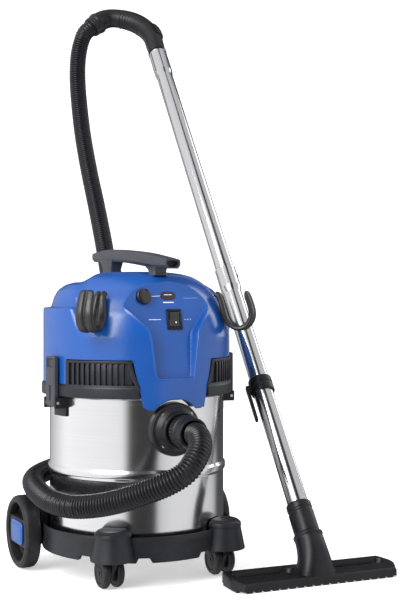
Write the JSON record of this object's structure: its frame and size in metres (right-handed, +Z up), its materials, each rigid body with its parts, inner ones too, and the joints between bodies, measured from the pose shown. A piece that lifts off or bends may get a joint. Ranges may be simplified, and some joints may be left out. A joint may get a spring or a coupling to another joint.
{
  "type": "shop vacuum",
  "caption": "Wet and dry shop vacuum: steel container on a wheeled base, lift-off motor head with carry handle, ribbed hose, steel wand and wide floor nozzle.",
  "frame": {"origin": "at floor level, under the middle of the machine, wand and nozzle seen from above", "axes": "+Z up, -Y to the machine's front where the hose plugs in, +X to the machine's left"},
  "size_m": [0.5811, 0.9436, 1.1584],
  "materials": {
    "anthracite_plastic": "fine grained satin",
    "black_plastic": "fine grained",
    "wheel_plastic": "fine grained",
    "blue_plastic": "smooth moulded, semi gloss",
    "grey_plastic": "satin",
    "rubber_black": "smooth rubber",
    "stainless": "finely brushed round the container",
    "tube_steel": "polished",
    "zinc_steel": "zinc plated",
    "motor_housing": "die cast",
    "copper_core": "wound core and shaft",
    "alloy": "pressed",
    "gloss_black": "polished",
    "badge": "plain, with no mark",
    "hose_plastic": "corrugated, satin",
    "float_plastic": "natural",
    "filter_paper": "pleated paper"
  },
  "bodies": {
    "trolley": {"base_ring": "anthracite_plastic", "rear_axle_left": "zinc_steel", "rear_axle_right": "zinc_steel", "container": "stainless", "inlet_flange": "black_plastic", "inlet_seal": "rubber_black", "inlet_baffle": "black_plastic", "latch_bracket_left": "black_plastic", "latch_bracket_right": "black_plastic", "latch_pins": "zinc_steel", "hose_connector": "black_plastic", "hose": "hose_plastic", "wand_handle": "black_plastic", "upper_tube": "tube_steel", "lower_tube": "tube_steel", "tube_collar": "black_plastic", "nozzle_sleeve": "black_plastic", "nozzle_body": "black_plastic", "nozzle_strip": "rubber_black"},
    "caster_left": {"caster_body_left": "black_plastic"},
    "caster_right": {"caster_body_right": "black_plastic"},
    "caster_wheel_left_a": {"caster_wheel_left_a": "wheel_plastic"},
    "caster_wheel_left_b": {"caster_wheel_left_b": "wheel_plastic"},
    "caster_wheel_right_a": {"caster_wheel_right_a": "wheel_plastic"},
    "caster_wheel_right_b": {"caster_wheel_right_b": "wheel_plastic"},
    "rear_wheel_left": {"rear_wheel_left": "wheel_plastic", "wheel_insert_left": "blue_plastic"},
    "rear_wheel_right": {"rear_wheel_right": "wheel_plastic", "wheel_insert_right": "blue_plastic"},
    "latch_left": {"latch_left": "grey_plastic"},
    "latch_right": {"latch_right": "grey_plastic"},
    "head": {"head_frame": "anthracite_plastic", "head_cover": "blue_plastic", "container_gasket": "rubber_black", "carry_handle": "grey_plastic", "hook_left": "rubber_black", "hook_right": "rubber_black", "switch_housing": "black_plastic", "clean_spring": "zinc_steel", "badge_plate": "badge", "blow_port": "black_plastic", "cable_gland": "rubber_black", "motor_mount_ring": "rubber_black", "fan_housing": "zinc_steel", "motor_screws": "zinc_steel", "motor_can": "motor_housing", "motor_bearings": "zinc_steel", "float_cage": "black_plastic", "filter_cartridge": "filter_paper", "filter_cap": "black_plastic", "filter_nut": "black_plastic"},
    "rocker": {"power_rocker": "gloss_black"},
    "button": {"clean_button": "gloss_black"},
    "rotor": {"rotor": "copper_core", "impeller": "alloy", "cooling_fan": "black_plastic"},
    "float": {"float_ball": "float_plastic"},
    "air_slider": {"air_slider": "black_plastic"},
    "hose_cuff": {"hose_cuff": "black_plastic"}
  },
  "joints": [
    {"name": "head_lift", "type": "slide", "parent": "trolley", "child": "head", "axis": [0, 0, 1], "range_m": [0, 0.2]},
    {"name": "rocker_press", "type": "hinge", "parent": "head", "child": "rocker", "pos_m": [-0.0758, -0.3086, 0.43917], "axis": [-1, 0, 0], "range_deg": [0, 12]},
    {"name": "button_press", "type": "slide", "parent": "head", "child": "button", "axis": [0, 0.9728, -0.2317], "range_m": [0, 0.006], "stiffness_N_per_m": 400, "springref_m": -0.003},
    {"name": "rotor_spin", "type": "hinge", "parent": "head", "child": "rotor", "pos_m": [-0.0868, -0.1787, 0.4], "axis": [0, 0, 1], "continuous": true},
    {"name": "float_rise", "type": "slide", "parent": "head", "child": "float", "axis": [0, 0, 1], "range_m": [0, 0.025]},
    {"name": "latch_left_swing", "type": "hinge", "parent": "trolley", "child": "latch_left", "pos_m": [0.08209, -0.20848, 0.299], "axis": [0.1736, 0.9848, 0], "range_deg": [0, 32]},
    {"name": "latch_right_swing", "type": "hinge", "parent": "trolley", "child": "latch_right", "pos_m": [-0.25569, -0.20848, 0.299], "axis": [0.1736, -0.9848, 0], "range_deg": [0, 100]},
    {"name": "caster_left_swivel", "type": "hinge", "parent": "trolley", "child": "caster_left", "pos_m": [0.01551, -0.31447, 0.06], "axis": [0, 0, 1], "continuous": true},
    {"name": "caster_left_roll_a", "type": "hinge", "parent": "caster_left", "child": "caster_wheel_left_a", "pos_m": [0.00351, -0.30047, 0.026], "axis": [1, 0, 0], "continuous": true},
    {"name": "caster_left_roll_b", "type": "hinge", "parent": "caster_left", "child": "caster_wheel_left_b", "pos_m": [0.02751, -0.30047, 0.026], "axis": [1, 0, 0], "continuous": true},
    {"name": "caster_right_swivel", "type": "hinge", "parent": "trolley", "child": "caster_right", "pos_m": [-0.18911, -0.31447, 0.06], "axis": [0, 0, 1], "continuous": true},
    {"name": "caster_right_roll_a", "type": "hinge", "parent": "caster_right", "child": "caster_wheel_right_a", "pos_m": [-0.20111, -0.30047, 0.026], "axis": [1, 0, 0], "continuous": true},
    {"name": "caster_right_roll_b", "type": "hinge", "parent": "caster_right", "child": "caster_wheel_right_b", "pos_m": [-0.17711, -0.30047, 0.026], "axis": [1, 0, 0], "continuous": true},
    {"name": "rear_left_roll", "type": "hinge", "parent": "trolley", "child": "rear_wheel_left", "pos_m": [0.0982, -0.1007, 0.0635], "axis": [1, 0, 0], "continuous": true},
    {"name": "rear_right_roll", "type": "hinge", "parent": "trolley", "child": "rear_wheel_right", "pos_m": [-0.2718, -0.1007, 0.0635], "axis": [1, 0, 0], "continuous": true},
    {"name": "air_slide", "type": "hinge", "parent": "trolley", "child": "air_slider", "pos_m": [0.08719, 0.37715, 1.05009], "axis": [-0.3764, -0.7342, 0.5651], "range_deg": [0, 7]},
    {"name": "cuff_swivel", "type": "hinge", "parent": "trolley", "child": "hose_cuff", "pos_m": [0.08358, 0.43598, 1.12413], "axis": [-0.7815, -0.076, -0.6193], "continuous": true}
  ]
}
